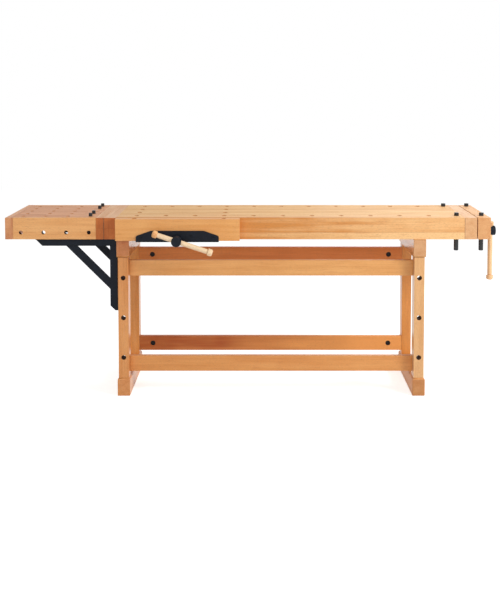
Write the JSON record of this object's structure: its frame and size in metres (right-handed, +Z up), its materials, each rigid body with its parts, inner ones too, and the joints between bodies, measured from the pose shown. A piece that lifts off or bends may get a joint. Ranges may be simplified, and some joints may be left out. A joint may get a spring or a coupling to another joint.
{
  "type": "woodworking bench with vises",
  "caption": "Beech cabinetmaker's bench on bolted trestles, with a front vise, a full-width tail vise, round bench dogs and a pierced top extension on steel brackets.",
  "frame": {"origin": "on the floor under the middle of the bench's bounding box", "axes": "+X along the bench towards the tail vise, +Y away from the woodworker at the front vise, +Z up"},
  "size_m": [2.541, 0.64, 0.932],
  "materials": {
    "beech": "oiled and lacquered laminated beech",
    "beech_reddish": "oiled steamed beech, a little redder than the rest",
    "beech_pale": "turned pale beech, smooth",
    "black_steel": "satin black coated steel",
    "bright_steel": "bright zinc-plated steel",
    "cast_iron": "dark painted casting"
  },
  "bodies": {
    "bench": {"front_beam": "beech", "rear_beam": "beech", "top_panel": "beech", "left_end_cap": "beech", "right_end_cap": "beech", "extension_panel": "beech_reddish", "extension_front_apron": "beech", "extension_rear_apron": "beech", "extension_left_cap": "beech", "extension_right_cap": "beech", "front_bracket_arm": "black_steel", "front_bracket_post": "black_steel", "front_bracket_brace": "black_steel", "rear_bracket_arm": "black_steel", "rear_bracket_post": "black_steel", "rear_bracket_brace": "black_steel", "left_foot": "beech", "left_bearer": "beech", "left_front_leg": "beech", "left_rear_leg": "beech", "right_foot": "beech", "right_bearer": "beech", "right_front_leg": "beech", "right_rear_leg": "beech", "front_lower_stretcher": "beech", "front_upper_stretcher": "beech", "rear_lower_stretcher": "beech", "rear_upper_stretcher": "beech", "left_front_lower_bolt": "bright_steel", "left_front_upper_bolt": "bright_steel", "left_rear_lower_bolt": "bright_steel", "left_rear_upper_bolt": "bright_steel", "right_front_lower_bolt": "bright_steel", "right_front_upper_bolt": "bright_steel", "right_rear_lower_bolt": "bright_steel", "right_rear_upper_bolt": "bright_steel", "front_vise_nut_block": "cast_iron", "tail_vise_nut_block": "cast_iron"},
    "front_jaw": {"front_vise_jaw": "beech", "front_vise_plate": "black_steel", "front_vise_left_rod": "bright_steel", "front_vise_right_rod": "bright_steel"},
    "front_screw": {"front_vise_screw": "black_steel"},
    "front_handle": {"front_vise_handle": "beech_pale", "front_vise_handle_knob": "beech_pale"},
    "tail_jaw": {"tail_vise_jaw": "beech", "tail_vise_plate": "black_steel", "tail_vise_left_rod": "bright_steel", "tail_vise_right_rod": "bright_steel"},
    "tail_screw": {"tail_vise_screw": "black_steel"},
    "tail_handle": {"tail_vise_handle": "beech_pale", "tail_vise_handle_knob": "beech_pale"},
    "bench_front_dog": {"bench_front_dog": "black_steel"},
    "bench_rear_dog": {"bench_rear_dog": "black_steel"},
    "jaw_front_dog": {"jaw_front_dog": "black_steel"},
    "jaw_rear_dog": {"jaw_rear_dog": "black_steel"},
    "extension_dog_1": {"extension_dog_1": "black_steel"},
    "extension_dog_2": {"extension_dog_2": "black_steel"},
    "extension_dog_3": {"extension_dog_3": "black_steel"},
    "extension_dog_4": {"extension_dog_4": "black_steel"}
  },
  "joints": [
    {"name": "front_jaw_slide", "type": "slide", "parent": "bench", "child": "front_jaw", "axis": [0, -1, 0], "range_m": [0, 0.144]},
    {"name": "front_screw_turn", "type": "hinge", "parent": "front_jaw", "child": "front_screw", "pos_m": [-0.394, -0.32, 0.812], "axis": [0, -1, 0], "range_deg": [0, 8640]},
    {"name": "front_handle_slide", "type": "slide", "parent": "front_screw", "child": "front_handle", "axis": [0.9489, 0, -0.3156], "range_m": [-0.137, 0.075]},
    {"name": "tail_jaw_slide", "type": "slide", "parent": "bench", "child": "tail_jaw", "axis": [1, 0, 0], "range_m": [-0.0045, 0.1385]},
    {"name": "tail_screw_turn", "type": "hinge", "parent": "tail_jaw", "child": "tail_screw", "pos_m": [1.2705, 0.061, 0.812], "axis": [1, 0, 0], "range_deg": [-270, 8310]},
    {"name": "tail_handle_slide", "type": "slide", "parent": "tail_screw", "child": "tail_handle", "axis": [0, 0, 1], "range_m": [0, 0.213]},
    {"name": "bench_front_dog_slide", "type": "slide", "parent": "bench", "child": "bench_front_dog", "axis": [0, 0, 1], "range_m": [-0.016, 0.1]},
    {"name": "bench_rear_dog_slide", "type": "slide", "parent": "bench", "child": "bench_rear_dog", "axis": [0, 0, 1], "range_m": [-0.016, 0.1]},
    {"name": "jaw_front_dog_slide", "type": "slide", "parent": "tail_jaw", "child": "jaw_front_dog", "axis": [0, 0, 1], "range_m": [-0.016, 0.1]},
    {"name": "jaw_rear_dog_slide", "type": "slide", "parent": "tail_jaw", "child": "jaw_rear_dog", "axis": [0, 0, 1], "range_m": [-0.016, 0.1]},
    {"name": "extension_dog_1_slide", "type": "slide", "parent": "bench", "child": "extension_dog_1", "axis": [0, 0, 1], "range_m": [-0.016, 0.04]},
    {"name": "extension_dog_2_slide", "type": "slide", "parent": "bench", "child": "extension_dog_2", "axis": [0, 0, 1], "range_m": [-0.016, 0.04]},
    {"name": "extension_dog_3_slide", "type": "slide", "parent": "bench", "child": "extension_dog_3", "axis": [0, 0, 1], "range_m": [-0.016, 0.04]},
    {"name": "extension_dog_4_slide", "type": "slide", "parent": "bench", "child": "extension_dog_4", "axis": [0, 0, 1], "range_m": [-0.016, 0.04]}
  ],
  "couplings": [
    {"joint": "front_jaw_slide", "follows": "front_screw_turn", "m_per_rad": 0.00095493},
    {"joint": "tail_jaw_slide", "follows": "tail_screw_turn", "m_per_rad": 0.00095493}
  ]
}
